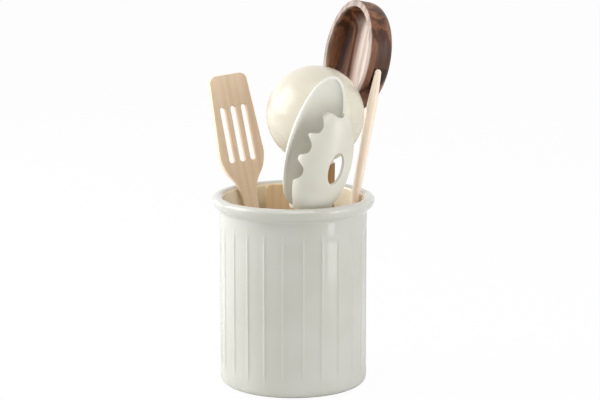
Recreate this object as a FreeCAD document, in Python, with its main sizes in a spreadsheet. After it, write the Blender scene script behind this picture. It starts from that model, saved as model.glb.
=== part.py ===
import FreeCAD, Part
import Sketcher
import math
import os
import re

# Driving sizes of each piece, in millimetres and degrees.
# A share is a part of the size that it follows: stance shares follow the inside radius of the crock.
sizes = {
    "crock": {
        "height": 174.0,
        "body_radius": 67.0,
        "rim_radius": 73.5,
        "mouth_radius": 64.0,
        "wall": 6.0,
        "floor": 9.0,
        "foot_round": 6.0,
        "floor_round": 8.0,
        "bead_height": 13.0,
        "bead_round": 10.0,
        "lip_rise": 3.0,
        "flare_height": 19.0,
    },
    "flute": {
        "count": 24,
        "depth": 1.1,
        "hollow_radius": 46.0,
        "bottom_margin": 17.0,
        "top_margin": 28.5,
        "fade_length": 5.0,
    },
    "fit": {
        "seat_gap": 0.3,
        "tang_gap": 0.1,
        "overrun": 5.0,
    },
    "turner": {
        "thickness": 5.5,
        "handle_half_width": 7.0,
        "neck_rise": -14.0,
        "shoulder_height": 44.0,
        "shoulder_share": 0.5,
        "blade_half_width": 22.0,
        "tip_half_width": 18.5,
        "blade_length": 116.5,
        "corner_round": 7.0,
        "slot_half_width": 3.0,
        "slot_pitch": 10.6,
        "slot_start": 35.0,
        "slot_length": 52.5,
        "foot_across_share": -0.18,
        "foot_back_share": 0.12,
        "rim_across_share": -0.7,
        "rim_back_share": 0.62,
        "turn": 25.0,
    },
    "scraper": {
        "thickness": 6.0,
        "half_width": 21.0,
        "rise": 0.5,
        "top_round": 6.0,
        "foot_round": 9.0,
        "foot_across_share": -0.08,
        "foot_back_share": 0.56,
        "rim_across_share": -0.08,
        "rim_back_share": 0.79,
        "turn": 0.0,
    },
    "spoon": {
        "foot_radius": 5.2,
        "top_radius": 4.4,
        "neck_rise": -6.0,
        "neck_length": 6.0,
        "neck_overlap": 12.0,
        "neck_radius": 7.0,
        "tang_radius": 2.6,
        "tang_length": 28.0,
        "half_length": 62.0,
        "half_width": 28.0,
        "depth": 11.0,
        "wall": 2.6,
        "foot_across_share": -0.74,
        "foot_back_share": -0.3,
        "rim_across_share": 0.04,
        "rim_back_share": -0.655,
        "turn": 38.0,
    },
    "server": {
        "foot_radius": 5.5,
        "top_radius": 4.8,
        "neck_rise": -24.0,
        "neck_length": 9.0,
        "neck_overlap": 12.0,
        "neck_radius": 7.0,
        "tang_radius": 2.8,
        "tang_length": 28.0,
        "half_length": 52.0,
        "half_width": 30.0,
        "depth": 20.0,
        "wall": 2.8,
        "notch_radius": 8.0,
        "notch_reach": 14.0,
        "notch_angle": 47.0,
        "notch_angle_step": 26.0,
        "notch_rows": 3,
        "hole_half_length": 16.0,
        "hole_half_width": 8.5,
        "hole_rise": 5.0,
        "foot_across_share": -0.44,
        "foot_back_share": -0.50,
        "rim_across_share": 0.26,
        "rim_back_share": -0.73,
        "turn": 220.0,
    },
    "ladle": {
        "handle_half_width": 10.0,
        "handle_top_half_width": 8.0,
        "handle_thickness": 9.0,
        "handle_rise": 21.1,
        "boss_length": 7.0,
        "boss_reach": 11.0,
        "boss_radius": 6.5,
        "boss_top_radius": 8.5,
        "tang_radius": 2.8,
        "tang_length": 30.0,
        "radius": 44.5,
        "wall": 2.8,
        "opening_angle": 78.0,
        "attach_angle": 40.0,
        "side_reach": 34.0,
        "foot_across_share": 0.4,
        "foot_back_share": -0.233,
        "rim_across_share": 0.47,
        "rim_back_share": -0.233,
        "turn": 0.0,
    },
    "scoop": {
        "foot_radius": 3.2,
        "handle_radius": 4.6,
        "handle_tip_radius": 3.0,
        "handle_taper": 30.0,
        "handle_rise": 112.6,
        "tip_gap": 4.0,
        "set_back": 10.8,
        "tilt": 2.0,
        "radius": 51.0,
        "wall": 6.0,
        "depth": 26.0,
        "floor": 6.0,
        "back_round": 13.0,
        "cove_round": 10.0,
        "mortise_depth": 4.4,
        "mortise_slack": 3.5,
        "foot_across_share": 0.47,
        "foot_back_share": 0.17,
        "rim_across_share": 0.945,
        "rim_back_share": 0.25,
        "turn": 202.0,
    },
}

up = FreeCAD.Vector(0, 0, 1)
back = FreeCAD.Vector(0, 1, 0)
dome_back = FreeCAD.Rotation(up, back)
alias_word = re.compile(r"\b[a-z]+_[a-z_]+\b")
doc = FreeCAD.newDocument("UtensilHolder")
sheet = doc.addObject("Spreadsheet::Sheet", "Sizes")


def fill_sheet():
    row = 1
    for piece, values in sizes.items():
        for name, number in values.items():
            alias = f"{piece}_{name}"
            sheet.set(f"A{row}", alias)
            sheet.set(f"B{row}", str(number))
            sheet.setAlias(f"B{row}", alias)
            row += 1
    doc.recompute()


def value(formula):
    return float(sheet.evalExpression(formula))


def bind(item, property_name, formula):
    item.setExpression(property_name, alias_word.sub(lambda found: "Sizes." + found.group(), formula))


def origin_part(body, role):
    return next(part for part in body.Origin.OriginFeatures if part.Role == role)


# Outlines and features of a body

def add_edge(sketch, begin, finish, corner):
    # An edge is straight, or an arc that bends to the left or the right with a given radius.
    # The ends of the edge are numbered as the sketch numbers them.
    if len(corner) == 2:
        sketch.addGeometry(Part.LineSegment(begin, finish))
        return 1, 2
    bend, radius = corner[2], value(corner[3])
    first, last = (begin, finish) if bend == "left" else (finish, begin)
    chord = last - first
    inward = FreeCAD.Vector(-chord.y, chord.x, 0).normalize()
    reach = math.sqrt(max(radius ** 2 - chord.Length ** 2 / 4, 0))
    centre = (first + last) / 2 + inward * reach
    start_angle = math.atan2(first.y - centre.y, first.x - centre.x)
    end_angle = math.atan2(last.y - centre.y, last.x - centre.x)
    sketch.addGeometry(Part.ArcOfCircle(Part.Circle(centre, up, radius), start_angle, end_angle))
    return (1, 2) if bend == "left" else (2, 1)


def pin_point(sketch, edge, end, direction, axis, formula):
    if formula == "0":
        sketch.addConstraint(Sketcher.Constraint("PointOnObject", edge, end, axis))
        return
    number = sketch.addConstraint(Sketcher.Constraint(direction, edge, end, value(formula)))
    bind(sketch, f"Constraints[{number}]", formula)


def draw(body, name, corners):
    # Each corner is (across, up), followed by the bend and radius of the arc that leaves it, if any.
    sketch = body.newObject("Sketcher::SketchObject", name)
    sketch.AttachmentSupport = [(origin_part(body, "XZ_Plane"), "")]
    sketch.MapMode = "FlatFace"
    points = [FreeCAD.Vector(value(corner[0]), value(corner[1]), 0) for corner in corners]
    following = points[1:] + points[:1]
    ends = [add_edge(sketch, *edge) for edge in zip(points, following, corners)]
    for edge, corner in enumerate(corners):
        after = (edge + 1) % len(corners)
        pin_point(sketch, edge, ends[edge][0], "DistanceX", -2, corner[0])
        pin_point(sketch, edge, ends[edge][0], "DistanceY", -1, corner[1])
        sketch.addConstraint(Sketcher.Constraint("Coincident", edge, ends[edge][1], after, ends[after][0]))
        if len(corner) > 2:
            number = sketch.addConstraint(Sketcher.Constraint("Radius", edge, value(corner[3])))
            bind(sketch, f"Constraints[{number}]", corner[3])
    return sketch


def new_body(label):
    body = doc.addObject("PartDesign::Body", label)
    body.Label = label
    return body


def spin(body, kind, name, sketch):
    feature = body.newObject(kind, name)
    feature.Profile = sketch
    feature.ReferenceAxis = (sketch, ["V_Axis"])
    feature.Angle = 360
    doc.recompute()
    return feature


def slab(body, kind, name, sketch, thickness):
    feature = body.newObject(kind, name)
    feature.Profile = sketch
    feature.SideType = "Symmetric"
    bind(feature, "Length", thickness)
    doc.recompute()
    return feature


# Simple solids and the cuts and joins between them

def simple(kind, name, formulas, turn=None):
    item = doc.addObject(kind, name)
    if turn:
        item.Placement = FreeCAD.Placement(FreeCAD.Vector(), turn)
    for property_name, formula in formulas.items():
        bind(item, property_name, formula)
    return item


def join(name, items):
    joined = doc.addObject("Part::MultiFuse", name)
    joined.Shapes = items
    return joined


def cut(name, base, tool):
    result = doc.addObject("Part::Cut", name)
    result.Label = name
    result.Base = base
    result.Tool = tool
    doc.recompute()
    return result


# Stance of a utensil: its axis runs from a point on the floor through a point in the rim plane

def stance(piece, drop_of):
    inside = value("crock_body_radius - crock_wall")
    foot_across = inside * value(f"{piece}_foot_across_share")
    foot_back = inside * value(f"{piece}_foot_back_share")
    rim_across = inside * value(f"{piece}_rim_across_share")
    rim_back = inside * value(f"{piece}_rim_back_share")
    foot = FreeCAD.Vector(foot_across, foot_back, value("crock_floor"))
    rim = FreeCAD.Vector(rim_across, rim_back, value("crock_height"))
    lean = (rim - foot).normalize()
    rotation = FreeCAD.Rotation(up, lean).multiply(FreeCAD.Rotation(up, value(f"{piece}_turn")))
    rise = (drop_of(rotation) + value("fit_seat_gap")) / lean.z
    return FreeCAD.Placement(foot + lean * rise, rotation)


def ball_drop(radius):
    return lambda rotation: value(radius)


def board_drop(radius, thickness):
    # How far the lowest point of a leaning board with a round end lies below the middle of that end.
    def drop(rotation):
        slope = abs(rotation.multVec(back).z)
        return value(radius) * math.sqrt(1 - slope ** 2) + value(thickness) / 2 * slope
    return drop


def make_crock():
    body = new_body("crock")
    lip_round = "(crock_rim_radius - crock_mouth_radius) ^ 2 / (8 * crock_lip_rise) + crock_lip_rise / 2"
    inside = "crock_body_radius - crock_wall"
    profile = draw(body, "crock_profile", [
        ("0", "0"),
        ("crock_body_radius - crock_foot_round", "0", "left", "crock_foot_round"),
        ("crock_body_radius", "crock_foot_round"),
        ("crock_body_radius", "crock_height - crock_bead_height", "left", "crock_bead_round"),
        ("crock_rim_radius", "crock_height - crock_lip_rise", "left", lip_round),
        ("crock_mouth_radius", "crock_height - crock_lip_rise"),
        (inside, "crock_height - crock_flare_height"),
        (inside, "crock_floor + crock_floor_round", "right", "crock_floor_round"),
        (f"{inside} - crock_floor_round", "crock_floor"),
        ("0", "crock_floor"),
    ])
    spin(body, "PartDesign::Revolution", "crock_turning", profile)
    bottom = "flute_bottom_margin"
    top = "crock_height - flute_top_margin"
    shallow = "2 * flute_depth - flute_hollow_radius"
    flute = draw(body, "flute_profile", [
        ("0", f"{bottom} - flute_fade_length"),
        ("0", f"{top} + flute_fade_length"),
        (shallow, f"{top} + flute_fade_length"),
        ("-flute_hollow_radius", f"{top} - flute_fade_length"),
        ("-flute_hollow_radius", f"{bottom} + flute_fade_length"),
        (shallow, f"{bottom} - flute_fade_length"),
    ])
    bind(flute, "AttachmentOffset.Base.x", "crock_body_radius + flute_hollow_radius - flute_depth")
    groove = spin(body, "PartDesign::Groove", "flute", flute)
    flutes = body.newObject("PartDesign::PolarPattern", "flutes")
    flutes.Originals = [groove]
    flutes.Axis = (origin_part(body, "Z_Axis"), [""])
    flutes.Angle = 360
    bind(flutes, "Occurrences", "flute_count")
    body.Tip = flutes
    return body


def make_turner():
    body = new_body("slotted_turner")
    half = "turner_handle_half_width"
    wide = "turner_blade_half_width"
    neck = "crock_height - crock_floor + turner_neck_rise"
    shoulder = f"{neck} + turner_shoulder_height"
    top = f"{neck} + turner_blade_length"
    swell = f"({wide} - {half})"
    bends = f"({swell} ^ 2 + turner_shoulder_height ^ 2) / (2 * {swell})"
    hollow = f"turner_shoulder_share * {bends}"
    bulge = f"(1 - turner_shoulder_share) * {bends}"
    middle = f"({half} + turner_shoulder_share * {swell})"
    middle_height = f"{neck} + turner_shoulder_share * turner_shoulder_height"
    tip = "turner_tip_half_width"
    outline = draw(body, "turner_outline", [
        (f"-{half}", "0", "left", half),
        ("0", f"-{half}", "left", half),
        (half, "0"),
        (half, neck, "right", hollow),
        (middle, middle_height, "left", bulge),
        (wide, shoulder),
        (tip, f"{top} - turner_corner_round", "left", "turner_corner_round"),
        (f"{tip} - turner_corner_round", top),
        (f"turner_corner_round - {tip}", top, "left", "turner_corner_round"),
        (f"-{tip}", f"{top} - turner_corner_round"),
        (f"-{wide}", shoulder, "left", bulge),
        (f"-{middle}", middle_height, "right", hollow),
        (f"-{half}", neck),
    ])
    slab(body, "PartDesign::Pad", "turner_board", outline, "turner_thickness")
    slot_half = "turner_slot_half_width"
    low = f"{neck} + turner_slot_start + {slot_half}"
    high = f"{neck} + turner_slot_start + turner_slot_length - {slot_half}"
    for number in (-1, 0, 1):
        place = f"{number} * turner_slot_pitch"
        slot = draw(body, f"slot_outline_{number + 2}", [
            (f"{place} + {slot_half}", low),
            (f"{place} + {slot_half}", high, "left", slot_half),
            (place if number else "0", f"{high} + {slot_half}", "left", slot_half),
            (f"{place} - {slot_half}", high),
            (f"{place} - {slot_half}", low, "left", slot_half),
            (place if number else "0", f"{low} - {slot_half}", "left", slot_half),
        ])
        slab(body, "PartDesign::Pocket", f"slot_{number + 2}", slot, "2 * turner_thickness")
    body.Placement = stance("turner", board_drop(half, "turner_thickness"))
    return body


def make_scraper():
    body = new_body("flat_scraper")
    half = "scraper_half_width"
    top = "crock_height - crock_floor + scraper_rise"
    outline = draw(body, "scraper_outline", [
        (f"{half} - scraper_foot_round", "0", "left", "scraper_foot_round"),
        (half, "scraper_foot_round"),
        (half, f"{top} - scraper_top_round", "left", "scraper_top_round"),
        (f"{half} - scraper_top_round", top),
        (f"scraper_top_round - {half}", top, "left", "scraper_top_round"),
        (f"-{half}", f"{top} - scraper_top_round"),
        (f"-{half}", "scraper_foot_round", "left", "scraper_foot_round"),
        (f"scraper_foot_round - {half}", "0"),
    ])
    slab(body, "PartDesign::Pad", "scraper_board", outline, "scraper_thickness")
    body.Placement = stance("scraper", board_drop("0", "scraper_thickness"))
    return body


# Handles and heads of the utensils that are made of two pieces

def handle_length(piece):
    return f"crock_height - crock_floor + {piece}_neck_rise"


def make_round_handle(piece):
    body = new_body(f"{piece}_handle")
    length = handle_length(piece)
    bore = f"{piece}_tang_radius + fit_tang_gap"
    bore_floor = f"{length} - {piece}_tang_length - fit_tang_gap"
    profile = draw(body, f"{piece}_handle_profile", [
        ("0", f"-{piece}_foot_radius", "left", f"{piece}_foot_radius"),
        (f"{piece}_foot_radius", "0"),
        (f"{piece}_top_radius", length),
        (bore, length),
        (bore, bore_floor),
        ("0", bore_floor),
    ])
    spin(body, "PartDesign::Revolution", f"{piece}_handle_turning", profile)
    body.Placement = stance(piece, ball_drop(f"{piece}_foot_radius"))
    return body


def head_blank(piece):
    # The oval dish of the head before it is hollowed, with the neck and the tang below it.
    length = handle_length(piece)
    middle = f"{length} + {piece}_neck_length + {piece}_half_length"
    dish = simple("Part::Ellipsoid", f"{piece}_dish", {
        "Radius1": f"{piece}_depth",
        "Radius2": f"{piece}_half_width",
        "Radius3": f"{piece}_half_length",
        "Angle1": "0",
        "Placement.Base.z": middle,
    }, dome_back)
    neck = simple("Part::Cone", f"{piece}_neck", {
        "Radius1": f"{piece}_top_radius",
        "Radius2": f"{piece}_neck_radius",
        "Height": f"{piece}_neck_length + {piece}_neck_overlap",
        "Placement.Base.z": length,
    })
    tang = simple("Part::Cylinder", f"{piece}_tang", {
        "Radius": f"{piece}_tang_radius",
        "Height": f"{piece}_tang_length + {piece}_neck_length",
        "Placement.Base.z": f"{length} - {piece}_tang_length",
    })
    hollow = simple("Part::Ellipsoid", f"{piece}_hollow", {
        "Radius1": f"{piece}_depth - {piece}_wall",
        "Radius2": f"{piece}_half_width - {piece}_wall",
        "Radius3": f"{piece}_half_length - {piece}_wall",
        "Placement.Base.z": middle,
    }, dome_back)
    return join(f"{piece}_blank", [dish, neck, tang]), hollow


def make_spoon_head(place):
    blank, hollow = head_blank("spoon")
    head = cut("spoon_head", blank, hollow)
    head.Placement = place
    return head


def notch_angles():
    rows = int(value("server_notch_rows"))
    side = [value(f"server_notch_angle - {row} * server_notch_angle_step") for row in range(rows)]
    return [90] + side + [180 - angle for angle in side]


def make_server_head(place):
    blank, hollow = head_blank("server")
    middle = f"{handle_length('server')} + server_neck_length + server_half_length"
    hole = simple("Part::Ellipsoid", "server_hole", {
        "Radius1": "2 * server_depth",
        "Radius2": "server_hole_half_width",
        "Radius3": "server_hole_half_length",
        "Placement.Base.z": f"{middle} + server_hole_rise",
    }, dome_back)
    tools = [hollow, hole]
    for number, angle in enumerate(notch_angles()):
        across = math.cos(math.radians(angle))
        along = math.sin(math.radians(angle))
        half_width = value("server_half_width")
        half_length = value("server_half_length")
        outward = FreeCAD.Vector(across / half_width, 0, along / half_length).normalize()
        rim_point = FreeCAD.Vector(across * half_width, 0, value(middle) + along * half_length)
        notch = simple("Part::Cylinder", f"server_notch_{number + 1}", {
            "Radius": "server_notch_radius",
            "Height": "2 * server_notch_reach",
        })
        start = rim_point - outward * value("server_notch_reach")
        notch.Placement = FreeCAD.Placement(start, FreeCAD.Rotation(up, outward))
        tools.append(notch)
    head = cut("server_head", blank, join("server_cuts", tools))
    head.Placement = place
    return head


def ladle_length():
    return "crock_height - crock_floor + ladle_handle_rise"


def make_ladle_handle():
    body = new_body("ladle_handle")
    length = ladle_length()
    half = "ladle_handle_half_width"
    outline = draw(body, "ladle_handle_outline", [
        (f"-{half}", "0", "left", half),
        ("0", f"-{half}", "left", half),
        (half, "0"),
        ("ladle_handle_top_half_width", length),
        ("-ladle_handle_top_half_width", length),
    ])
    slab(body, "PartDesign::Pad", "ladle_handle_board", outline, "ladle_handle_thickness")
    bore = "ladle_tang_radius + fit_tang_gap"
    bore_floor = f"{length} - ladle_tang_length - fit_tang_gap"
    bore_profile = draw(body, "ladle_bore_profile", [
        ("0", bore_floor),
        (bore, bore_floor),
        (bore, f"{length} + fit_overrun"),
        ("0", f"{length} + fit_overrun"),
    ])
    spin(body, "PartDesign::Groove", "ladle_bore", bore_profile)
    body.Placement = stance("ladle", board_drop(half, "ladle_handle_thickness"))
    return body


def make_ladle_bowl(place):
    length = ladle_length()
    side = "(ladle_radius - ladle_side_reach)"
    middle_across = f"-{side}"
    middle_back = "ladle_radius * sin(ladle_attach_angle)"
    middle_rise = f"sqrt((ladle_radius * cos(ladle_attach_angle)) ^ 2 - {side} ^ 2)"
    middle_up = f"{length} + ladle_boss_length + {middle_rise}"
    opening = FreeCAD.Rotation(FreeCAD.Vector(1, 0, 0), value("ladle_opening_angle"))
    dome = simple("Part::Sphere", "ladle_dome", {
        "Radius": "ladle_radius",
        "Angle1": "0",
        "Placement.Base.x": middle_across,
        "Placement.Base.y": middle_back,
        "Placement.Base.z": middle_up,
    }, opening)
    boss = simple("Part::Cone", "ladle_boss", {
        "Radius1": "ladle_boss_radius",
        "Radius2": "ladle_boss_top_radius",
        "Height": "ladle_boss_length + ladle_boss_reach",
        "Placement.Base.z": length,
    })
    tang = simple("Part::Cylinder", "ladle_tang", {
        "Radius": "ladle_tang_radius",
        "Height": "ladle_tang_length + ladle_boss_length",
        "Placement.Base.z": f"{length} - ladle_tang_length",
    })
    hollow = simple("Part::Sphere", "ladle_hollow", {
        "Radius": "ladle_radius - ladle_wall",
        "Placement.Base.x": middle_across,
        "Placement.Base.y": middle_back,
        "Placement.Base.z": middle_up,
    })
    bowl = cut("ladle_bowl", join("ladle_blank", [dome, boss, tang]), hollow)
    bowl.Placement = place
    return bowl


def scoop_length():
    return "crock_height - crock_floor + scoop_handle_rise"


def make_scoop_handle():
    body = new_body("scoop_handle")
    length = scoop_length()
    profile = draw(body, "scoop_handle_profile", [
        ("0", "-scoop_foot_radius", "left", "scoop_foot_radius"),
        ("scoop_foot_radius", "0"),
        ("scoop_handle_radius", f"{length} - scoop_handle_taper"),
        ("scoop_handle_tip_radius", f"{length} - scoop_handle_tip_radius", "left", "scoop_handle_tip_radius"),
        ("0", length),
    ])
    spin(body, "PartDesign::Revolution", "scoop_handle_turning", profile)
    body.Placement = stance("scoop", ball_drop("scoop_foot_radius"))
    return body


def make_scoop_bowl(place):
    # The bowl is turned about its own axis, with the opening up. The stick then runs along its back-to-front line.
    turning = doc.addObject("PartDesign::Body", "scoop_turning")
    inside = "scoop_radius - scoop_wall"
    profile = draw(turning, "scoop_profile", [
        ("0", "-scoop_depth"),
        ("scoop_radius - scoop_back_round", "-scoop_depth", "left", "scoop_back_round"),
        ("scoop_radius", "scoop_back_round - scoop_depth"),
        ("scoop_radius", "0"),
        (inside, "0"),
        (inside, "scoop_floor + scoop_cove_round - scoop_depth", "right", "scoop_cove_round"),
        (f"{inside} - scoop_cove_round", "scoop_floor - scoop_depth"),
        ("0", "scoop_floor - scoop_depth"),
    ])
    spin(turning, "PartDesign::Revolution", "scoop_shape", profile)
    stick_width = "2 * scoop_handle_radius + 2 * fit_tang_gap"
    mortise = simple("Part::Box", "scoop_mortise", {
        "Length": "scoop_mortise_depth + fit_overrun",
        "Width": "scoop_radius",
        "Height": f"{stick_width} + scoop_mortise_slack",
    })
    corner = FreeCAD.Vector(
        value("scoop_radius - scoop_mortise_depth"),
        value("-scoop_radius - scoop_tip_gap"),
        value("-scoop_set_back - scoop_handle_radius - fit_tang_gap"),
    )
    tilt = FreeCAD.Rotation(FreeCAD.Vector(1, 0, 0), value("scoop_tilt"))
    mortise.Placement = FreeCAD.Placement(tilt.multVec(corner), tilt)
    bowl = cut("scoop_bowl", turning, mortise)
    stick_reach = value("scoop_radius - scoop_mortise_depth + scoop_handle_radius")
    stick_top = value(f"{scoop_length()} + scoop_tip_gap")
    seat = FreeCAD.Vector(value("scoop_set_back"), -stick_reach, stick_top)
    opening = FreeCAD.Rotation(FreeCAD.Vector(1, 1, 1), 120).multiply(tilt.inverted())
    bowl.Placement = place.multiply(FreeCAD.Placement(seat, opening))
    return bowl


def make_pieces():
    spoon_handle = make_round_handle("spoon")
    server_handle = make_round_handle("server")
    ladle_handle = make_ladle_handle()
    scoop_handle = make_scoop_handle()
    return [
        make_crock(),
        make_turner(),
        make_scraper(),
        spoon_handle,
        make_spoon_head(spoon_handle.Placement),
        server_handle,
        make_server_head(server_handle.Placement),
        ladle_handle,
        make_ladle_bowl(ladle_handle.Placement),
        scoop_handle,
        make_scoop_bowl(scoop_handle.Placement),
    ]


def write_pieces(pieces):
    doc.recompute()
    broken = [item.Name for item in doc.Objects if "Invalid" in item.State or "Error" in item.State]
    if broken:
        raise RuntimeError(f"these did not build: {broken}")
    os.makedirs("parts", exist_ok=True)
    for piece in pieces:
        shape = piece.Shape
        if shape.isNull() or not shape.isValid() or len(shape.Solids) != 1:
            raise RuntimeError(f"{piece.Label} is not one sound solid")
        shape.exportStep(f"parts/{piece.Label}.step")
        print(piece.Label, round(shape.Volume), "cubic mm")


fill_sheet()
write_pieces(make_pieces())
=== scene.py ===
import bpy
import bmesh
import math
from mathutils import Matrix, Quaternion, Vector


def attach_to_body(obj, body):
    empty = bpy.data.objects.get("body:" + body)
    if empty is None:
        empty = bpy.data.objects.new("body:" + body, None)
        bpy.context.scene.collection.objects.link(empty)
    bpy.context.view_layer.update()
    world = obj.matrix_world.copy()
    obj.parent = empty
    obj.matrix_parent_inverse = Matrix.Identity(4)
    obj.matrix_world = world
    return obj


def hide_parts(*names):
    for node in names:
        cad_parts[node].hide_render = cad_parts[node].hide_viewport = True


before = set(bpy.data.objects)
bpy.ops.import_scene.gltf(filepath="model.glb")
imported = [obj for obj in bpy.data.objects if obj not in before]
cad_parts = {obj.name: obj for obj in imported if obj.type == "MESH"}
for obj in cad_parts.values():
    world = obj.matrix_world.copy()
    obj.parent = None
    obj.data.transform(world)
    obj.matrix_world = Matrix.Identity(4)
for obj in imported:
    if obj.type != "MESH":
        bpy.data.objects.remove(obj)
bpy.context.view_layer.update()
mm = 0.001
up = Vector((0, 0, 1))
scene = bpy.context.scene

# camera at the height and distance that give the photo's view
view = {"place": (0.0061, -2.0027, 0.5725), "pitchDown": 11.4, "lens": 135.0, "sensor": 36.0, "far": 20.0}
cameraData = bpy.data.cameras.new("camera")
cameraData.lens = view["lens"]
cameraData.sensor_width = view["sensor"]
cameraData.sensor_fit = "HORIZONTAL"
cameraData.clip_end = view["far"]
camera = bpy.data.objects.new("camera", cameraData)
camera.location = view["place"]
camera.rotation_euler = (math.radians(90 - view["pitchDown"]), 0, 0)
scene.collection.objects.link(camera)
scene.camera = camera
print("camera set")


# small helpers for meshes, in millimetres until a place matrix brings them to metres
meshValues = {"sharpAngle": 40.0, "bevelAngle": 50.0, "legShare": 0.48, "onAxis": 1e-6}


def addPiece(name, mesh, body, node, material):
    piece = bpy.data.objects.new(name, mesh)
    scene.collection.objects.link(piece)
    mesh.materials.clear()
    mesh.materials.append(material)
    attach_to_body(piece, body)
    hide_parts(node)


def smoothSides(mesh, sharpAngle):
    mesh.shade_smooth()
    mesh.set_sharp_from_angle(angle=math.radians(sharpAngle))


def finishMesh(bm, name, place=None, sharpAngle=meshValues["sharpAngle"]):
    if place is not None:
        bmesh.ops.transform(bm, matrix=place, verts=bm.verts)
    mesh = bpy.data.meshes.new(name)
    bm.to_mesh(mesh)
    bm.free()
    smoothSides(mesh, sharpAngle)
    return mesh


def withModifiers(mesh, addModifiers):
    # puts modifiers on a passing object and hands back the mesh they give
    holder = bpy.data.objects.new("holder", mesh)
    scene.collection.objects.link(holder)
    addModifiers(holder)
    graph = bpy.context.evaluated_depsgraph_get()
    result = bpy.data.meshes.new_from_object(holder.evaluated_get(graph), depsgraph=graph)
    bpy.data.objects.remove(holder)
    return result


def addBevel(holder, width, segments):
    bevel = holder.modifiers.new("ease", "BEVEL")
    bevel.width = width
    bevel.segments = segments
    bevel.limit_method = "ANGLE"
    bevel.angle_limit = math.radians(meshValues["bevelAngle"])


def arcPoints(begin, finish, radius, bend, count):
    first, last = (begin, finish) if bend == "left" else (finish, begin)
    chord = Vector(last) - Vector(first)
    inward = Vector((-chord.y, chord.x)).normalized()
    reach = math.sqrt(max(radius ** 2 - chord.length ** 2 / 4, 0))
    centre = (Vector(first) + Vector(last)) / 2 + inward * reach
    a0 = math.atan2(first[1] - centre.y, first[0] - centre.x)
    a1 = math.atan2(last[1] - centre.y, last[0] - centre.x)
    if a1 < a0:
        a1 += 2 * math.pi
    points = []
    for step in range(count + 1):
        angle = a0 + (a1 - a0) * step / count
        points.append((centre.x + radius * math.cos(angle), centre.y + radius * math.sin(angle)))
    return points if bend == "left" else points[::-1]


def softCorners(points, radius, count):
    # rounds the inner corners of an open line, never by more than half of the shorter leg
    most = meshValues["legShare"]
    line = [Vector(points[0])]
    for corner in zip(points, points[1:], points[2:]):
        before, here, after = (Vector(p) for p in corner)
        back, ahead = before - here, after - here
        turn = back.angle(ahead)
        reach = min(radius / math.tan(turn / 2), most * back.length, most * ahead.length)
        p0, p2 = here + back.normalized() * reach, here + ahead.normalized() * reach
        for step in range(count + 1):
            s = step / count
            line.append(p0 * (1 - s) ** 2 + here * 2 * s * (1 - s) + p2 * s ** 2)
    line.append(Vector(points[-1]))
    return [tuple(p) for p in line]


def spacedLine(points, gap):
    # the same line with no leg longer than the gap
    line = [Vector(points[0])]
    for point in points[1:]:
        start = line[-1]
        leg = Vector(point) - start
        count = max(1, math.ceil(leg.length / gap))
        line += [start + leg * (step + 1) / count for step in range(count)]
    return [tuple(p) for p in line]


def evenAngles(count):
    return [2 * math.pi * k / count for k in range(count)]


def latheMesh(line, angles):
    # spins a line of (radius, height) about Z, with a single point where it meets the axis
    bm = bmesh.new()
    rings = []
    for radius, height in line:
        if radius < meshValues["onAxis"]:
            rings.append([bm.verts.new((0, 0, height))])
            continue
        rings.append([bm.verts.new((radius * math.cos(a), radius * math.sin(a), height)) for a in angles])
    for low, high in zip(rings, rings[1:]):
        for k in range(len(angles)):
            n = (k + 1) % len(angles)
            corners = [low[k % len(low)], low[n % len(low)], high[n % len(high)], high[k % len(high)]]
            corners = [v for i, v in enumerate(corners) if v not in corners[:i]]
            if len(corners) > 2:
                bm.faces.new(corners)
    bmesh.ops.recalc_face_normals(bm, faces=bm.faces)
    return bm


def bridgeRings(bm, rings, capped):
    # faces between rings of equal count, with the two ends closed if they are to be capped
    faces = []
    count = len(rings[0])
    for low, high in zip(rings, rings[1:]):
        for k in range(count):
            n = (k + 1) % count
            faces.append(bm.faces.new((low[k], low[n], high[n], high[k])))
    if capped:
        faces.append(bm.faces.new(rings[0][::-1]))
        faces.append(bm.faces.new(rings[-1]))
    return faces


# stance of each utensil in the crock: where its axis meets the floor and the rim plane, in shares of the
# inside radius, its turn about that axis, and the round end or the board end that it stands on
crockInside = {"radius": 61.0, "floor": 9.0, "height": 174.0, "gap": 0.3}
stances = {
    "turner": {"foot": (-0.18, 0.12), "rim": (-0.70, 0.62), "turn": 25.0, "board": (7.0, 5.5)},
    "scraper": {"foot": (-0.08, 0.56), "rim": (-0.08, 0.79), "turn": 0.0, "board": (0.0, 6.0)},
    "spoon": {"foot": (-0.74, -0.30), "rim": (0.04, -0.655), "turn": 38.0, "ball": 5.2},
    "server": {"foot": (-0.44, -0.50), "rim": (0.26, -0.73), "turn": 220.0, "ball": 5.5},
    "ladle": {"foot": (0.40, -0.233), "rim": (0.47, -0.233), "turn": 0.0, "board": (10.0, 9.0)},
    "scoop": {"foot": (0.47, 0.17), "rim": (0.945, 0.25), "turn": 202.0, "ball": 3.2},
}


def standing(name):
    # the matrix that puts a utensil, built upright in millimetres, in its place in metres
    stance = stances[name]
    inside = crockInside["radius"]
    foot = Vector((stance["foot"][0] * inside, stance["foot"][1] * inside, crockInside["floor"]))
    rim = Vector((stance["rim"][0] * inside, stance["rim"][1] * inside, crockInside["height"]))
    lean = (rim - foot).normalized()
    turned = up.rotation_difference(lean) @ Quaternion(up, math.radians(stance["turn"]))
    if "ball" in stance:
        drop = stance["ball"]
    else:
        radius, thickness = stance["board"]
        slope = abs((turned @ Vector((0, 1, 0))).z)
        drop = radius * math.sqrt(1 - slope ** 2) + thickness / 2 * slope
    place = foot + lean * ((drop + crockInside["gap"]) / lean.z)
    return Matrix.Scale(mm, 4) @ Matrix.Translation(place) @ turned.to_matrix().to_4x4()


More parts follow.
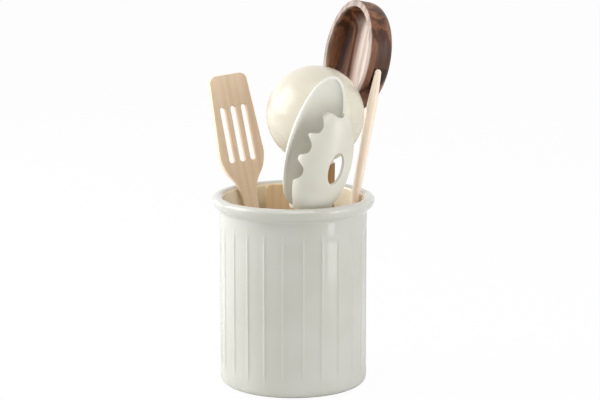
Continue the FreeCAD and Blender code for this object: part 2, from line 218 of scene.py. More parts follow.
# small helpers for materials
noiseKinds = {  # detail and roughness of each kind of noise
    "drift": (3.0, 0.55), "fibre": (4.0, 0.7), "broad": (2.0, 0.5), "slow": (2.0, 0.5), "speck": (2.0, 0.6),
}
markGrain = (0.42, 0.58)  # the span of grain values over which a mark comes to its full share


def newMaterial(name):
    material = bpy.data.materials.new(name)
    material.use_nodes = True
    tree = material.node_tree
    shader = next(node for node in tree.nodes if node.type == "BSDF_PRINCIPLED")
    return material, tree, shader


def addNode(tree, kind, **values):
    node = tree.nodes.new(kind)
    for key, value in values.items():
        if key in node.inputs:
            node.inputs[key].default_value = value
        else:
            setattr(node, key, value)
    return node


def paint(red, green, blue):
    # screen colour from 0 to 255, as the linear colour that Blender works in
    shares = [c / 255 for c in (red, green, blue)]
    return tuple(c / 12.92 if c <= 0.04 else ((c + 0.055) / 1.055) ** 2.4 for c in shares)


def addNoise(tree, vector, kind, scale):
    detail, roughness = noiseKinds[kind]
    noise = addNode(tree, "ShaderNodeTexNoise", Scale=scale, Detail=detail, Roughness=roughness)
    tree.links.new(vector, noise.inputs["Vector"])
    return noise


def mapRange(tree, source, target, span=(0.0, 1.0)):
    # moves values from a span to a target range
    ends = {"From Min": span[0], "From Max": span[1], "To Min": target[0], "To Max": target[1]}
    node = addNode(tree, "ShaderNodeMapRange", **ends)
    tree.links.new(source, node.inputs["Value"])
    return node.outputs["Result"]


def toneRamp(tree, source, stops, interpolation):
    ramp = addNode(tree, "ShaderNodeValToRGB")
    ramp.color_ramp.interpolation = interpolation
    elements = ramp.color_ramp.elements
    while len(elements) > 1:
        elements.remove(elements[-1])
    elements[0].position = stops[0][0]
    elements[0].color = (*stops[0][1], 1)
    for position, colour in stops[1:]:
        elements.new(position).color = (*colour, 1)
    tree.links.new(source, ramp.inputs["Fac"])
    return ramp.outputs["Color"]


def mixColour(tree, weight, below, above):
    mixed = addNode(tree, "ShaderNodeMixRGB", blend_type="MIX", Color2=(*above, 1))
    tree.links.new(weight, mixed.inputs["Fac"])
    tree.links.new(below, mixed.inputs["Color1"])
    return mixed.outputs["Color"]


def markedColour(tree, colour, look, grain):
    # lays the look's marks over a colour where their vertex attribute is set, with some grain left showing
    for mark, v in look.get("marks", {}).items():
        reach = addNode(tree, "ShaderNodeAttribute", attribute_name=mark)
        cover = mapRange(tree, grain, (v["share"] * (1 - v["grain"]), v["share"]), markGrain)
        weight = addNode(tree, "ShaderNodeMath", operation="MULTIPLY")
        tree.links.new(reach.outputs["Fac"], weight.inputs[0])
        tree.links.new(cover, weight.inputs[1])
        colour = mixColour(tree, weight.outputs[0], colour, v["colour"])
    return colour


def coverShader(tree, shader, look, colour, skin):
    # colour, uneven roughness and fine relief, then the values that are the same all over
    tree.links.new(colour, shader.inputs["Base Color"])
    tree.links.new(mapRange(tree, skin, look["roughness"]), shader.inputs["Roughness"])
    bump = addNode(tree, "ShaderNodeBump", Strength=look["bump"], Distance=look["bumpDistance"])
    tree.links.new(skin, bump.inputs["Height"])
    tree.links.new(bump.outputs["Normal"], shader.inputs["Normal"])
    shader.inputs["Specular IOR Level"].default_value = look["specular"]
    shader.inputs["Coat Weight"].default_value = look["coat"]
    shader.inputs["Coat Roughness"].default_value = look["coatRoughness"]


def grainSpace(tree, place, stretch):
    # object coordinates turned so that Z runs along the grain, in metres, then squeezed along it
    rotation = place.to_3x3().normalized().to_4x4()
    back = rotation.inverted() @ Matrix.Translation(-place.to_translation())
    coords = addNode(tree, "ShaderNodeTexCoord")
    turned = addNode(tree, "ShaderNodeMapping", Location=back.to_translation(), Rotation=back.to_euler("XYZ"))
    squeezed = addNode(tree, "ShaderNodeMapping", Scale=(1, 1, stretch))
    tree.links.new(coords.outputs["Object"], turned.inputs["Vector"])
    tree.links.new(turned.outputs["Vector"], squeezed.inputs["Vector"])
    return squeezed.outputs["Vector"]


def woodFinish(name, place, look):
    # wandering rings, fine fibres and broad patches, added up in their shares to one tone
    material, tree, shader = newMaterial(name)
    link = tree.links.new
    along = grainSpace(tree, place, look["stretch"])
    drift = addNoise(tree, along, "drift", look["driftScale"])
    bent = addNode(tree, "ShaderNodeMixRGB", blend_type="ADD", Fac=look["wander"])
    link(along, bent.inputs["Color1"])
    link(drift.outputs["Color"], bent.inputs["Color2"])
    rings = addNode(tree, "ShaderNodeTexWave", wave_type="BANDS", bands_direction=look["bands"],
                    Scale=look["ringScale"], Distortion=look["distortion"], Detail=look["ringDetail"])
    rings.inputs["Detail Scale"].default_value = look["detailScale"]
    link(bent.outputs["Color"], rings.inputs["Vector"])
    fibre = addNoise(tree, along, "fibre", look["fibreScale"])
    broad = addNoise(tree, along, "broad", look["broadScale"])
    grain = None
    for layer, share in ((broad, "broadShare"), (fibre, "fibreShare"), (rings, "ringShare")):
        added = addNode(tree, "ShaderNodeMath", operation="MULTIPLY_ADD")
        link(layer.outputs["Fac"], added.inputs[0])
        added.inputs[1].default_value = look[share]
        added.inputs[2].default_value = 0.0
        if grain is not None:
            link(grain, added.inputs[2])
        grain = added.outputs[0]
    colour = markedColour(tree, toneRamp(tree, grain, look["tones"], "LINEAR"), look, grain)
    coverShader(tree, shader, look, colour, fibre.outputs["Fac"])
    return material


def glossFinish(name, look):
    # glazed or moulded gloss: near even colour with slow drift, fine specks and a slightly uneven skin
    material, tree, shader = newMaterial(name)
    coords = addNode(tree, "ShaderNodeTexCoord").outputs["Object"]
    slow = addNoise(tree, coords, "slow", look["driftScale"]).outputs["Fac"]
    fine = addNoise(tree, coords, "speck", look["speckScale"]).outputs["Fac"]
    specks = mapRange(tree, fine, (0.0, look["speckDepth"]), look["speckSpan"])
    colour = mixColour(tree, specks, toneRamp(tree, slow, look["tones"], "EASE"), look["speckColour"])
    coverShader(tree, shader, look, markedColour(tree, colour, look, slow), slow)
    return material


# crock: turned wall with shallow flutes
crockLook = {
    "driftScale": 14.0, "speckScale": 900.0, "speckSpan": (0.68, 0.8), "speckDepth": 0.10,
    "tones": [(0.3, paint(197, 197, 187)), (0.7, paint(204, 204, 196))],
    "speckColour": paint(196, 190, 174), "roughness": (0.08, 0.14), "bump": 0.05, "bumpDistance": 0.0006,
    "specular": 0.5, "coat": 0.35, "coatRoughness": 0.05,
    # the inside mark is painted bounce light: a brighter, warmer glaze colour on the inside wall
    "marks": {"inside": {"colour": paint(252, 243, 218), "share": 0.95, "grain": 0.15}},
}
crockValues = {
    "footRadius": 61.0, "footRound": 6.0, "footSteps": 8, "bodyRadius": 67.0,
    "beadLow": 161.0, "beadRadius": 73.5, "beadRound": 10.0, "beadSteps": 12,
    "underLead": 6.0, "underSoft": 4.0, "underSteps": 8, "underSkip": 5,
    "lipHeight": 171.0, "lipRound": 5.2605, "lipSteps": 14,
    "creaseSoft": 2.5, "creaseSteps": 4, "creaseSkip": 2,
    "mouthRadius": 64.0, "mouthSoft": 6.0, "mouthSteps": 6, "flareLow": 155.0, "flareLead": 60.0,
    "floorRound": 8.0, "floorSteps": 8, "lineGap": 3.2, "glazeEdge": 0.5, "sharpAngle": 60.0,
    "fluteCount": 24, "fluteDepth": 0.85, "flatness": 5.0,
    "fluteLow": 17.0, "fluteHigh": 145.5, "fluteFade": 7.0,
    "fluteSteps": (-1.0, -0.95, -0.88, -0.78, -0.62, -0.40, -0.14, 0.14, 0.40, 0.62, 0.78, 0.88, 0.95),
    "wallShare": 0.985, "turnsAhead": 100.5, "leastRadius": 0.0001,
}


def fluteTree(material):
    v = crockValues
    tree = bpy.data.node_groups.new("flutedWall", "GeometryNodeTree")
    link = tree.links.new
    face = tree.interface
    face.new_socket("Geometry", in_out="INPUT", socket_type="NodeSocketGeometry")
    for name in ("Flute Count", "Flute Depth", "Flatness", "Wall Radius",
                 "Flute Low", "Flute High", "Flute Fade"):
        face.new_socket(name, in_out="INPUT", socket_type="NodeSocketFloat")
    face.new_socket("Geometry", in_out="OUTPUT", socket_type="NodeSocketGeometry")
    inputs = tree.nodes.new("NodeGroupInput").outputs
    result = tree.nodes.new("NodeGroupOutput")

    def maths(operation, *sources):
        node = tree.nodes.new("ShaderNodeMath")
        node.operation = operation
        for slot, source in enumerate(sources):
            if isinstance(source, (int, float)):
                node.inputs[slot].default_value = source
            else:
                link(source, node.inputs[slot])
        return node.outputs[0]

    def ramp(source, low, high):
        node = tree.nodes.new("ShaderNodeMapRange")
        node.interpolation_type = "SMOOTHSTEP"
        link(source, node.inputs["Value"])
        link(low, node.inputs["From Min"])
        link(high, node.inputs["From Max"])
        return node.outputs["Result"]

    split = tree.nodes.new("ShaderNodeSeparateXYZ")
    link(tree.nodes.new("GeometryNodeInputPosition").outputs[0], split.inputs[0])
    x, y, z = split.outputs
    # from -1 to 1 across each flute, with the middle of one at angle zero
    turns = maths("MULTIPLY", maths("ARCTAN2", y, x), maths("DIVIDE", inputs["Flute Count"], 2 * math.pi))
    across = maths("SUBTRACT", maths("MULTIPLY", maths("FRACT", maths("ADD", turns, v["turnsAhead"])), 2), 1)
    dish = maths("SUBTRACT", 1, maths("POWER", maths("MULTIPLY", across, across), inputs["Flatness"]))
    # only on the outer wall, and faded out at both ends
    radius = maths("SQRT", maths("ADD", maths("MULTIPLY", x, x), maths("MULTIPLY", y, y)))
    onWall = maths("GREATER_THAN", radius, maths("MULTIPLY", inputs["Wall Radius"], v["wallShare"]))
    fade = inputs["Flute Fade"]
    risen = ramp(z, maths("SUBTRACT", inputs["Flute Low"], fade), maths("ADD", inputs["Flute Low"], fade))
    fallen = ramp(z, maths("ADD", inputs["Flute High"], fade), maths("SUBTRACT", inputs["Flute High"], fade))
    depth = maths("MULTIPLY", maths("MULTIPLY", dish, inputs["Flute Depth"]),
                  maths("MULTIPLY", maths("MULTIPLY", risen, fallen), onWall))
    share = maths("DIVIDE", maths("MULTIPLY", depth, -1), maths("MAXIMUM", radius, v["leastRadius"]))
    offset = tree.nodes.new("ShaderNodeCombineXYZ")
    link(maths("MULTIPLY", x, share), offset.inputs[0])
    link(maths("MULTIPLY", y, share), offset.inputs[1])
    moved = tree.nodes.new("GeometryNodeSetPosition")
    link(inputs["Geometry"], moved.inputs["Geometry"])
    link(offset.outputs[0], moved.inputs["Offset"])
    real = tree.nodes.new("GeometryNodeRealizeInstances")
    link(moved.outputs[0], real.inputs[0])
    coated = tree.nodes.new("GeometryNodeSetMaterial")
    coated.inputs["Material"].default_value = material
    link(real.outputs[0], coated.inputs["Geometry"])
    link(coated.outputs[0], result.inputs[0])
    return tree


def crockLine():
    # half of the section, from the middle of the foot up the wall, over the lip and down to the floor
    v = crockValues
    body, inside, floor = v["bodyRadius"], crockInside["radius"], crockInside["floor"]
    beadTop, mouth = (v["beadRadius"], v["lipHeight"]), (v["mouthRadius"], v["lipHeight"])
    foot = arcPoints((v["footRadius"], 0.0), (body, v["footRound"]), v["footRound"], "left", v["footSteps"])
    bead = arcPoints((body, v["beadLow"]), beadTop, v["beadRound"], "left", v["beadSteps"])
    lip = arcPoints(beadTop, mouth, v["lipRound"], "left", v["lipSteps"])
    corner = [(body, v["beadLow"] - v["underLead"]), bead[0], bead[v["underSkip"]]]
    under = softCorners(corner, v["underSoft"], v["underSteps"])
    crease = softCorners([bead[-2], bead[-1], lip[v["creaseSkip"]]], v["creaseSoft"], v["creaseSteps"])
    corner = [lip[-2], lip[-1], (inside, v["flareLow"]), (inside, v["flareLead"])]
    flare = softCorners(corner, v["mouthSoft"], v["mouthSteps"])
    low, high = (inside - v["floorRound"], floor), (inside, floor + v["floorRound"])
    cove = arcPoints(high, low, v["floorRound"], "right", v["floorSteps"])
    line = [(0.0, 0.0)] + foot + under[1:-1] + bead[v["underSkip"] + 1:-1]
    line += crease[1:-1] + lip[v["creaseSkip"]:-1] + flare[1:-1] + cove
    return line + [(0.0, floor)]


def makeCrock():
    v = crockValues
    angles = [2 * math.pi * (flute + step / 2) / v["fluteCount"]
              for flute in range(v["fluteCount"]) for step in v["fluteSteps"]]
    bm = latheMesh(spacedLine(crockLine(), v["lineGap"]), angles)
    paintedBounce = bm.verts.layers.float.new("inside")  # painted bounce light: the inside wall brighter and warmer than the outside
    for vert in bm.verts:
        across = math.hypot(vert.co.x, vert.co.y)
        vert[paintedBounce] = float(vert.co.z > v["footRound"] and across < v["mouthRadius"] + v["glazeEdge"])
    mesh = finishMesh(bm, "crockTurned", Matrix.Scale(mm, 4), v["sharpAngle"])
    material = glossFinish("creamGlaze", crockLook)
    tree = fluteTree(material)
    sizes = {
        "Flute Count": float(v["fluteCount"]), "Flute Depth": v["fluteDepth"] * mm, "Flatness": v["flatness"],
        "Wall Radius": v["bodyRadius"] * mm,
        "Flute Low": v["fluteLow"] * mm, "Flute High": v["fluteHigh"] * mm, "Flute Fade": v["fluteFade"] * mm,
    }

    def addFlutes(holder):
        flutes = holder.modifiers.new("flutes", "NODES")
        flutes.node_group = tree
        for item in tree.interface.items_tree:
            if item.in_out == "INPUT" and item.name in sizes:
                flutes[item.identifier] = sizes[item.name]

    mesh = withModifiers(mesh, addFlutes)
    addPiece("crockFluted", mesh, "crock", "crock", material)


makeCrock()
print("crock made")


# boards: the turner, the scraper and the flat ladle handle, with eased edges
boardValues = {"weld": 2e-6, "flatAngle": 0.5, "edgeSteps": 4, "sharpAngle": 35.0}
beechLook = {
    "stretch": 0.05, "driftScale": 45.0, "wander": 0.02, "bands": "X", "ringScale": 38.0, "ringDetail": 3.0,
    "distortion": 6.0, "detailScale": 2.2, "fibreScale": 1300.0, "broadScale": 90.0,
    "ringShare": 0.16, "fibreShare": 0.46, "broadShare": 0.38, "roughness": (0.42, 0.60),
    "bump": 0.12, "bumpDistance": 0.0004, "specular": 0.35, "coat": 0.0, "coatRoughness": 0.16,
    "tones": [(0.25, paint(226, 198, 165)), (0.5, paint(237, 211, 181)), (0.75, paint(243, 220, 193))],
}
scraperLook = dict(
    beechLook,
    tones=[(0.25, paint(226, 192, 146)), (0.5, paint(239, 210, 167)), (0.75, paint(244, 220, 182))],
)
handleLook = dict(
    beechLook, ringScale=70.0, roughness=(0.32, 0.5), specular=0.45,
    tones=[(0.25, paint(150, 104, 66)), (0.5, paint(182, 138, 96)), (0.75, paint(205, 164, 120))],
)


def easedBoard(node, name, body, look, edge):
    # the CAD's own board with its flat sides made whole, so that the bevel runs evenly along its edges
    v = boardValues
    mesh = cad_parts[node].data.copy()
    bm = bmesh.new()
    bm.from_mesh(mesh)
    bmesh.ops.remove_doubles(bm, verts=bm.verts, dist=v["weld"])
    bmesh.ops.dissolve_limit(bm, angle_limit=math.radians(v["flatAngle"]), verts=bm.verts, edges=bm.edges)
    bm.to_mesh(mesh)
    bm.free()
    mesh = withModifiers(mesh, lambda holder: addBevel(holder, edge * mm, v["edgeSteps"]))
    smoothSides(mesh, v["sharpAngle"])
    addPiece(name, mesh, body, node, woodFinish(name + "Wood", standing(body), look))


easedBoard("slotted_turner", "turnerBoard", "turner", beechLook, edge=1.3)
easedBoard("flat_scraper", "scraperBoard", "scraper", scraperLook, edge=1.6)
easedBoard("ladle_handle", "ladleStick", "ladle", handleLook, edge=2.6)
print("boards made")


# round wooden handles
handleValues = {"lineGap": 6.0, "segments": 48, "sharpAngle": 50.0, "footSteps": 10}
spoonStick = {"foot": 5.2, "top": 4.4, "length": 163.0, "edge": 0.8, "edgeSteps": 4}
serverStick = {"foot": 5.5, "top": 4.8, "length": 141.0, "edge": 0.8, "edgeSteps": 4}
scoopStick = {"foot": 3.2, "wide": 4.6, "tip": 3.0, "taper": 30.0, "length": 277.6,
              "swell": 60.0, "swellSteps": 8, "tipSteps": 8}
mapleLook = dict(
    beechLook, ringScale=80.0, roughness=(0.35, 0.5), specular=0.4,
    tones=[(0.25, paint(243, 220, 196)), (0.5, paint(250, 232, 212)), (0.75, paint(253, 240, 226))],
)


def roundFoot(radius):
    return arcPoints((0.0, -radius), (radius, 0.0), radius, "left", handleValues["footSteps"])


def roundHandle(name, node, body, line, look):
    v = handleValues
    place = standing(body)
    bm = latheMesh(spacedLine(line, v["lineGap"]), evenAngles(v["segments"]))
    mesh = finishMesh(bm, name, place, v["sharpAngle"])
    addPiece(name, mesh, body, node, woodFinish(name + "Wood", place, look))


def makeStick(body, v):
    # a straight stick, flat at the top, where its head sits
    line = roundFoot(v["foot"])
    corner = [line[-1], (v["top"], v["length"]), (0.0, v["length"])]
    line += softCorners(corner, v["edge"], v["edgeSteps"])[1:]
    roundHandle(body + "Stick", body + "_handle", body, line, handleLook)


def makeScoopStick():
    # widest a little below its rounded tip
    v = scoopStick
    line = roundFoot(v["foot"])
    tipSide = (v["tip"], v["length"] - v["tip"])
    corner = [line[-1], (v["wide"], v["length"] - v["taper"]), tipSide]
    line += softCorners(corner, v["swell"], v["swellSteps"])[1:-1]
    line += arcPoints(tipSide, (0.0, v["length"]), v["tip"], "left", v["tipSteps"])
    roundHandle("scoopStick", "scoop_handle", "scoop", line, mapleLook)


makeStick("spoon", spoonStick)
makeStick("server", serverStick)
makeScoopStick()
print("round handles made")


# cream gloss heads
creamLook = {
    "driftScale": 20.0, "speckScale": 700.0, "speckSpan": (0.72, 0.8), "speckDepth": 0.05,
    "tones": [(0.2, paint(213, 206, 187)), (0.8, paint(220, 214, 197))],
    "speckColour": paint(205, 196, 172), "roughness": (0.24, 0.30), "bump": 0.04, "bumpDistance": 0.0006,
    "specular": 0.5, "coat": 0.12, "coatRoughness": 0.16,
}
satinLook = dict(
    creamLook, roughness=(0.30, 0.38), coat=0.08, coatRoughness=0.2,
    tones=[(0.3, paint(213, 209, 195)), (0.7, paint(220, 217, 205))],
)
# a lighter copy of the satin for the spoon: painted light that makes up for the shade the server casts into
# its dish
spoonLitLook = dict(satinLook, tones=[(0.3, paint(227, 224, 213)), (0.7, paint(232, 230, 220))])
headValues = {"weld": 1e-4, "edgeSteps": 3}
neckValues = {
    "segments": 32, "middleBack": 0.2, "middleSwell": 0.5, "ribSwell": 0.6, "ribSink": 1.6, "leastBack": 1.2,
    "rib": ((0.0, 0.0), (4.0, 0.6), (8.0, 1.4), (12.0, 2.4), (16.0, 3.6)),  # how far up, and how much thinner
}


def dishMesh(v):
    # half of an oval shell, from its middle (or the edge of its hole) out to its rim, bitten by the notches
    wide, long, deep = v["halfWidth"], v["halfLength"], v["depth"]
    holeWide, holeLong, holeRise = v.get("hole", (0.0, 0.0, 0.0))
    rows = v["rows"]
    bm = bmesh.new()
    rings = [[] for row in range(rows + 1)]
    for angle in evenAngles(v["columns"]):
        rim = Vector((math.cos(angle), math.sin(angle)))
        edge = Vector((holeWide / wide * rim.x, holeRise / long + holeLong / long * rim.y))
        bite = 0.0
        for notch in v.get("notches", ()):
            centre = Vector((wide * math.cos(math.radians(notch)), long * math.sin(math.radians(notch))))
            apart = (Vector((wide * rim.x, long * rim.y)) - centre).length
            wave = (1 - min(1, apart / v["notchReach"]) ** v["notchFlat"]) ** v["notchEase"]
            bite = max(bite, v["notchDepth"] * wave)
        # the share of the way to the rim at which the shell is as high as the bite
        step = rim - edge
        level = 1 - (bite / deep) ** 2
        a, b, c = step.length_squared, 2 * edge.dot(step), edge.length_squared - level
        reach = (-b + math.sqrt(max(b * b - 4 * a * c, 0))) / (2 * a)
        for row in range(rows + 1):
            s = row / rows
            point = edge + step * (reach * (1 - (1 - s) ** 2))
            height = deep * math.sqrt(max(0, 1 - point.length_squared))
            rings[row].append(bm.verts.new((wide * point.x, height, long * point.y)))
    bridgeRings(bm, rings, capped=False)
    if not holeWide:
        bmesh.ops.remove_doubles(bm, verts=rings[0], dist=headValues["weld"])
    bmesh.ops.recalc_face_normals(bm, faces=bm.faces)

    def offMiddle(face):
        centre = face.calc_center_median()
        return centre.length + abs(centre.y - deep)

    if min(bm.faces, key=offMiddle).normal.y < 0:
        bmesh.ops.reverse_faces(bm, faces=bm.faces)
    return bm


def addNeck(bm, v):
    # the neck grows out of the stick and runs up the back of the dish as a fading rib
    n = neckValues
    start, tip = v["stickLength"], v["stickLength"] + v["neckLength"]
    sections = [(start, 0.0, v["stickTop"])]
    sections.append((start + 0.5 * v["neckLength"], n["middleBack"], v["stickTop"] + n["middleSwell"]))
    for lift, shrink in n["rib"]:
        share = (v["halfLength"] - lift) / v["halfLength"]
        back = v["depth"] * math.sqrt(max(0, 1 - share ** 2))
        back = max(n["leastBack"], back - n["ribSink"])
        sections.append((tip + lift, back, v["stickTop"] + n["ribSwell"] - shrink))
    rings = []
    for height, back, radius in sections:
        rings.append([bm.verts.new((radius * math.cos(a), back + radius * math.sin(a), height))
                      for a in evenAngles(n["segments"])])
    bmesh.ops.recalc_face_normals(bm, faces=bridgeRings(bm, rings, capped=True))


def makeHead(name, node, body, v, material):
    middle = v["stickLength"] + v["neckLength"] + v["halfLength"]
    shell = finishMesh(dishMesh(v), name + "Shell", Matrix.Translation((0, 0, middle)))

    def thicken(holder):
        wall = holder.modifiers.new("wall", "SOLIDIFY")
        wall.thickness = v["wall"]
        wall.offset = -1
        wall.use_even_offset = True
        addBevel(holder, v["edge"], headValues["edgeSteps"])

    both = bmesh.new()
    both.from_mesh(withModifiers(shell, thicken))
    addNeck(both, v)
    mesh = finishMesh(both, name, standing(body))
    addPiece(name, mesh, body, node, material)


creamGloss = glossFinish("creamGloss", creamLook)
creamSatin = glossFinish("creamSatin", satinLook)
spoonLitSatin = glossFinish("spoonLitSatin", spoonLitLook)
spoonHead = {"stickLength": spoonStick["length"], "stickTop": spoonStick["top"], "neckLength": 2.0,
             "halfLength": 62.0, "halfWidth": 28.0, "depth": 11.0, "wall": 2.6, "edge": 0.9,
             "columns": 160, "rows": 26}
makeHead("spoonHead", "spoon_head", "spoon", spoonHead, spoonLitSatin)
serverHead = {"stickLength": serverStick["length"], "stickTop": serverStick["top"], "neckLength": 9.0,
              "halfLength": 52.0, "halfWidth": 30.0, "depth": 20.0, "wall": 2.8, "edge": 0.8,
              "columns": 420, "rows": 26, "hole": (8.6, 14.8, 3.4),
              "notches": (90, 47, 21, -5, 133, 159, 185), "notchDepth": 8.2,
              "notchReach": 10.0, "notchFlat": 3.0, "notchEase": 1.4}
makeHead("serverHead", "server_head", "server", serverHead, creamSatin)

ladleBowl = {"radius": 44.5, "wall": 2.8, "opening": 78.0, "attach": 40.0, "side": 10.5, "length": 186.1,
             "outerSteps": 40, "innerSteps": 36, "innerSkip": 2, "edge": 1.2, "edgeLead": 2.0, "edgeSteps": 5,
             "segments": 128, "sharpAngle": 45.0,
             "boss": 7.0, "bossLow": 6.5, "bossHigh": 8.5, "bossFlare": 18.0, "bossMost": 40.0,
             "bossSegments": 48, "bossSteps": 10, "halvings": 30}


def ladleLine():
    # half of the section, from the top of the outside over the rim to the top of the inside
    v = ladleBowl
    radius, inner = v["radius"], v["radius"] - v["wall"]

    def quarter(size, steps):
        angles = [math.pi / 2 * s / steps for s in range(steps)]
        return [(size * math.sin(a), size * math.cos(a)) for a in angles]

    outside = quarter(radius, v["outerSteps"])
    rim = [outside[-1], (radius, 0.0), (inner, 0.0), (inner, v["edgeLead"])]
    inside = [(across, height) for height, across in quarter(inner, v["innerSteps"])]
    line = [(0.0, radius)] + outside[1:] + softCorners(rim, v["edge"], v["edgeSteps"])[1:-1]
    return line + inside[v["innerSkip"]:] + [(0.0, inner)]


def makeLadleBowl():
    v = ladleBowl
    radius, length = v["radius"], v["length"]
    attach = math.radians(v["attach"])
    rise = math.sqrt((radius * math.cos(attach)) ** 2 - v["side"] ** 2)
    centre = Vector((-v["side"], radius * math.sin(attach), length + v["boss"] + rise))
    bm = latheMesh(ladleLine(), evenAngles(v["segments"]))
    opened = Matrix.Translation(centre) @ Matrix.Rotation(math.radians(v["opening"]), 4, "X")
    bmesh.ops.transform(bm, matrix=opened, verts=bm.verts)

    def bossPoint(angle, level):
        width = v["bossLow"] + (v["bossHigh"] - v["bossLow"]) * min(1, (level - length) / v["bossFlare"])
        return Vector((width * math.cos(angle), width * math.sin(angle), level))

    # the boss runs up to the middle of the wall of the bowl
    angles = evenAngles(v["bossSegments"])
    tops = []
    for angle in angles:
        low, high = length, length + v["bossMost"]
        for halving in range(v["halvings"]):
            level = (low + high) / 2
            if (bossPoint(angle, level) - centre).length > radius - v["wall"] / 2:
                low = level
            else:
                high = level
        tops.append((low + high) / 2)
    rings = []
    for step in range(v["bossSteps"] + 1):
        levels = [length + (top - length) * step / v["bossSteps"] for top in tops]
        rings.append([bm.verts.new(bossPoint(angle, level)) for angle, level in zip(angles, levels)])
    bridgeRings(bm, rings, capped=True)
    mesh = finishMesh(bm, "ladleBowl", standing("ladle"), v["sharpAngle"])
    addPiece("ladleBowl", mesh, "ladle", "ladle_bowl", creamGloss)


makeLadleBowl()
print("cream heads made")


# walnut scoop bowl, turned, with the mortise for the stick
scoopBowl = {
    "radius": 50.95, "wall": 6.0, "depth": 26.0, "floor": 6.0, "backRound": 13.0, "backSteps": 14,
    "cove": 10.0, "coveSteps": 12, "edge": 1.0, "edgeSteps": 5, "lineGap": 4.0, "segments": 160, "tilt": 2.0,
    "mortiseDepth": 4.4, "gap": 0.1, "slack": 3.5, "tipGap": 4.0, "setBack": 10.8, "tipWide": 3.9,
    "overrun": 5.0, "shadeSkin": 0.3, "shadeSide": 0.4, "shadeEnd": -3.5, "shadeTop": -2.2,
    "paleEdge": 2.0, "paleDrop": 0.5, "sheenTowards": (0.373, -0.928, 0.0),
    "paleStart": 32.0, "paleFade": 22.0, "paleRing": 16.0, "rimPale": 0.42,
}
walnutLook = {
    "stretch": 0.10, "driftScale": 34.0, "wander": 0.05, "bands": "X", "ringScale": 22.0, "ringDetail": 3.0,
    "distortion": 7.0, "detailScale": 2.6, "fibreScale": 700.0, "broadScale": 55.0,
    "ringShare": 0.22, "fibreShare": 0.36, "broadShare": 0.42, "roughness": (0.40, 0.54),
    "bump": 0.12, "bumpDistance": 0.0004, "specular": 0.3, "coat": 0.05, "coatRoughness": 0.16,
    "tones": [(0.30, paint(52, 28, 17)), (0.46, paint(84, 50, 32)),
              (0.58, paint(115, 74, 50)), (0.74, paint(158, 111, 80))],
    "marks": {
        # painted shade: dark in the mortise beside the stick
        "mortiseShade": {"colour": paint(24, 14, 9), "share": 0.9, "grain": 0.05},
        # pale wood with a painted sheen: strongest on the lit side of the floor, weaker on the rim
        "paleWoodAndSheen": {"colour": paint(236, 220, 208), "share": 0.88, "grain": 0.35},
    },
}


def scoopLine():
    # half of the section, from the middle of the back round the rim to the middle of the floor
    v = scoopBowl
    radius, inner = v["radius"], v["radius"] - v["wall"]
    back, floor = -v["depth"], v["floor"] - v["depth"]
    turned = arcPoints((radius - v["backRound"], back), (radius, v["backRound"] - v["depth"]),
                       v["backRound"], "left", v["backSteps"])
    coveTop = (inner, v["floor"] + v["cove"] - v["depth"])
    rim = softCorners([turned[-1], (radius, 0.0), (inner, 0.0), coveTop], v["edge"], v["edgeSteps"])
    cove = arcPoints(coveTop, (inner - v["cove"], floor), v["cove"], "right", v["coveSteps"])
    return [(0.0, back)] + turned + rim[1:-1] + cove + [(0.0, floor)]


def mortiseCutter(tilt):
    v = scoopBowl
    radius, stick = v["radius"], scoopStick["wide"]
    corner = Vector((radius - v["mortiseDepth"], -radius - v["tipGap"], -v["setBack"] - stick - v["gap"]))
    size = Vector((v["mortiseDepth"] + v["overrun"], radius, 2 * stick + 2 * v["gap"] + v["slack"]))
    block = bmesh.new()
    bmesh.ops.create_cube(block, size=1.0)
    sized = Matrix.Translation(corner + size / 2) @ Matrix.Diagonal((*size, 1))
    bmesh.ops.transform(block, matrix=sized, verts=block.verts)
    for vert in block.verts:
        if vert.co.y > corner.y + size.y / 2:  # the mortise narrows to the tip of the stick
            vert.co.z = math.copysign(v["tipWide"], vert.co.z - corner.z - size.z / 2) - v["setBack"]
    cutter = bpy.data.objects.new("mortiseCutter", finishMesh(block, "mortiseCutter", tilt))
    scene.collection.objects.link(cutter)
    return cutter


def markScoop(bm, ahead):
    # dark painted shade inside the mortise; pale wood with a painted sheen on the floor (fading out to its
    # wall and to one side) and on the rim
    v = scoopBowl
    radius, inner = v["radius"], v["radius"] - v["wall"]
    mortiseShade = bm.verts.layers.float.new("mortiseShade")
    paleWoodAndSheen = bm.verts.layers.float.new("paleWoodAndSheen")
    for vert in bm.verts:
        x, y, z = vert.co
        across = math.hypot(x, y)
        inMortise = across < radius - v["shadeSkin"] and x > radius - v["mortiseDepth"] - v["shadeSide"]
        if inMortise and y < v["shadeEnd"] and z < v["shadeTop"]:
            vert[mortiseShade] = 1.0
        if across < inner - v["paleEdge"] and z > v["floor"] - v["depth"] - v["paleDrop"]:
            along = max(0, (vert.co.dot(ahead) + v["paleStart"]) / v["paleFade"])
            share = min(1, along, (inner - across) / v["paleRing"])
            vert[paleWoodAndSheen] = share * share * (3 - 2 * share)
        elif z > -v["edge"]:
            vert[paleWoodAndSheen] = v["rimPale"]


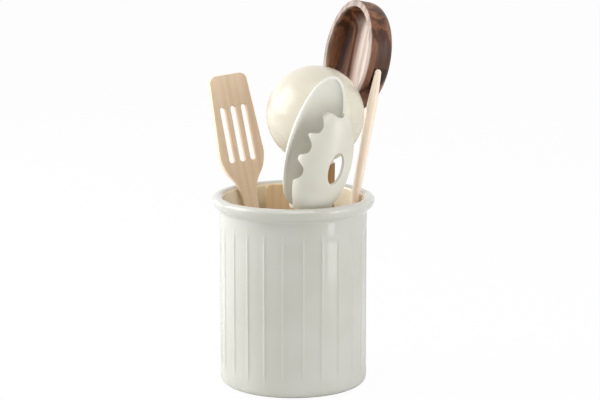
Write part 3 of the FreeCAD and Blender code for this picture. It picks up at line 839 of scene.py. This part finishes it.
def makeScoopBowl():
    v = scoopBowl
    tilt = Matrix.Rotation(math.radians(v["tilt"]), 4, "X")
    cutter = mortiseCutter(tilt)

    def carve(holder):
        mortise = holder.modifiers.new("mortise", "BOOLEAN")
        mortise.operation = "DIFFERENCE"
        mortise.solver = "EXACT"
        mortise.object = cutter

    turned = latheMesh(spacedLine(scoopLine(), v["lineGap"]), evenAngles(v["segments"]))
    bowl = withModifiers(finishMesh(turned, "scoopTurned"), carve)
    bpy.data.objects.remove(cutter)
    reach = v["radius"] - v["mortiseDepth"] + scoopStick["wide"]
    seat = Vector((v["setBack"], -reach, scoopStick["length"] + v["tipGap"]))
    # a third of a turn about the space diagonal brings the axis of the bowl from Z to X
    opening = Quaternion((1, 1, 1), math.radians(120)).to_matrix().to_4x4() @ tilt.inverted()
    place = standing("scoop") @ Matrix.Translation(seat) @ opening
    bm = bmesh.new()
    bm.from_mesh(bowl)
    markScoop(bm, (place.to_3x3().normalized().inverted() @ Vector(v["sheenTowards"])).normalized())
    mesh = finishMesh(bm, "scoopBowl", place)
    grain = place @ Matrix.Rotation(math.radians(-90), 4, "X")  # the grain runs across the bowl
    addPiece("scoopBowl", mesh, "scoop", "scoop_bowl", woodFinish("walnut", grain, walnutLook))


makeScoopBowl()
print("scoop made")


# stage: a floor that the camera sees as near white, a white world and five lamps
stageValues = {"size": 4.0, "drop": 0.0004, "colour": (0.82, 0.82, 0.81), "roughness": 0.55,
               "glow": 1.0, "glowShare": 0.96}
lights = {
    "ambient": 0.50,
    "lamps": {
        "key": {"place": (-1.25, 0.05, 0.80), "aim": (0, 0, 0.2), "size": (1.1, 1.1), "power": 17.0},
        "backKey": {"place": (-1.05, 1.00, 0.25), "aim": (0.04, 0.05, 0.29),
                    "size": (0.8, 0.8), "power": 5.5},
        "top": {"place": (0.15, -0.55, 1.6), "aim": (0, 0, 0.2), "size": (0.8, 0.8), "power": 5.0},
        "fill": {"place": (1.5, -0.45, 0.6), "aim": (0, 0, 0.15), "size": (0.9, 0.9), "power": 6.5},
        "strip": {"place": (0.43, -0.27, 0.30), "aim": (0.03, -0.05, 0.30),
                  "size": (0.10, 0.6), "power": 0.35},
    },
}


def makeStage():
    v = stageValues
    bm = bmesh.new()
    bmesh.ops.create_grid(bm, x_segments=1, y_segments=1, size=v["size"])
    floorMesh = bpy.data.meshes.new("floor")
    bm.to_mesh(floorMesh)
    bm.free()
    floor = bpy.data.objects.new("floor", floorMesh)
    floor.location = (0, 0, -v["drop"])
    scene.collection.objects.link(floor)
    material, tree, shader = newMaterial("paleFloor")
    shader.inputs["Base Color"].default_value = (*v["colour"], 1)
    shader.inputs["Roughness"].default_value = v["roughness"]
    glow = addNode(tree, "ShaderNodeEmission", Strength=v["glow"])
    seen = addNode(tree, "ShaderNodeLightPath")
    share = addNode(tree, "ShaderNodeMath", operation="MULTIPLY")
    share.inputs[1].default_value = v["glowShare"]
    mixed = addNode(tree, "ShaderNodeMixShader")
    output = next(node for node in tree.nodes if node.type == "OUTPUT_MATERIAL")
    tree.links.new(seen.outputs["Is Camera Ray"], share.inputs[0])
    tree.links.new(share.outputs[0], mixed.inputs["Fac"])
    tree.links.new(shader.outputs[0], mixed.inputs[1])
    tree.links.new(glow.outputs[0], mixed.inputs[2])
    tree.links.new(mixed.outputs[0], output.inputs["Surface"])
    floorMesh.materials.append(material)


def makeWorld():
    # full white where the camera or a reflection sees it, and dimmer as light
    world = bpy.data.worlds.new("studio")
    scene.world = world
    world.use_nodes = True
    tree = world.node_tree
    ground = next(node for node in tree.nodes if node.type == "BACKGROUND")
    seen = addNode(tree, "ShaderNodeLightPath")
    mirrored = addNode(tree, "ShaderNodeMath", operation="MAXIMUM")
    tree.links.new(seen.outputs["Is Camera Ray"], mirrored.inputs[0])
    tree.links.new(seen.outputs["Is Glossy Ray"], mirrored.inputs[1])
    level = mapRange(tree, mirrored.outputs[0], (lights["ambient"], 1.0))
    tree.links.new(level, ground.inputs["Strength"])
    ground.inputs["Color"].default_value = (1, 1, 1, 1)


def makeLights():
    for name, lamp in lights["lamps"].items():
        data = bpy.data.lights.new(name, "AREA")
        data.shape = "RECTANGLE"
        data.size, data.size_y = lamp["size"]
        data.energy = lamp["power"]
        holder = bpy.data.objects.new(name, data)
        holder.location = lamp["place"]
        away = Vector(lamp["place"]) - Vector(lamp["aim"])
        holder.rotation_euler = away.to_track_quat("Z", "Y").to_euler()
        scene.collection.objects.link(holder)


makeStage()
makeWorld()
makeLights()
scene.view_settings.view_transform = "Standard"
print("stage and light set")
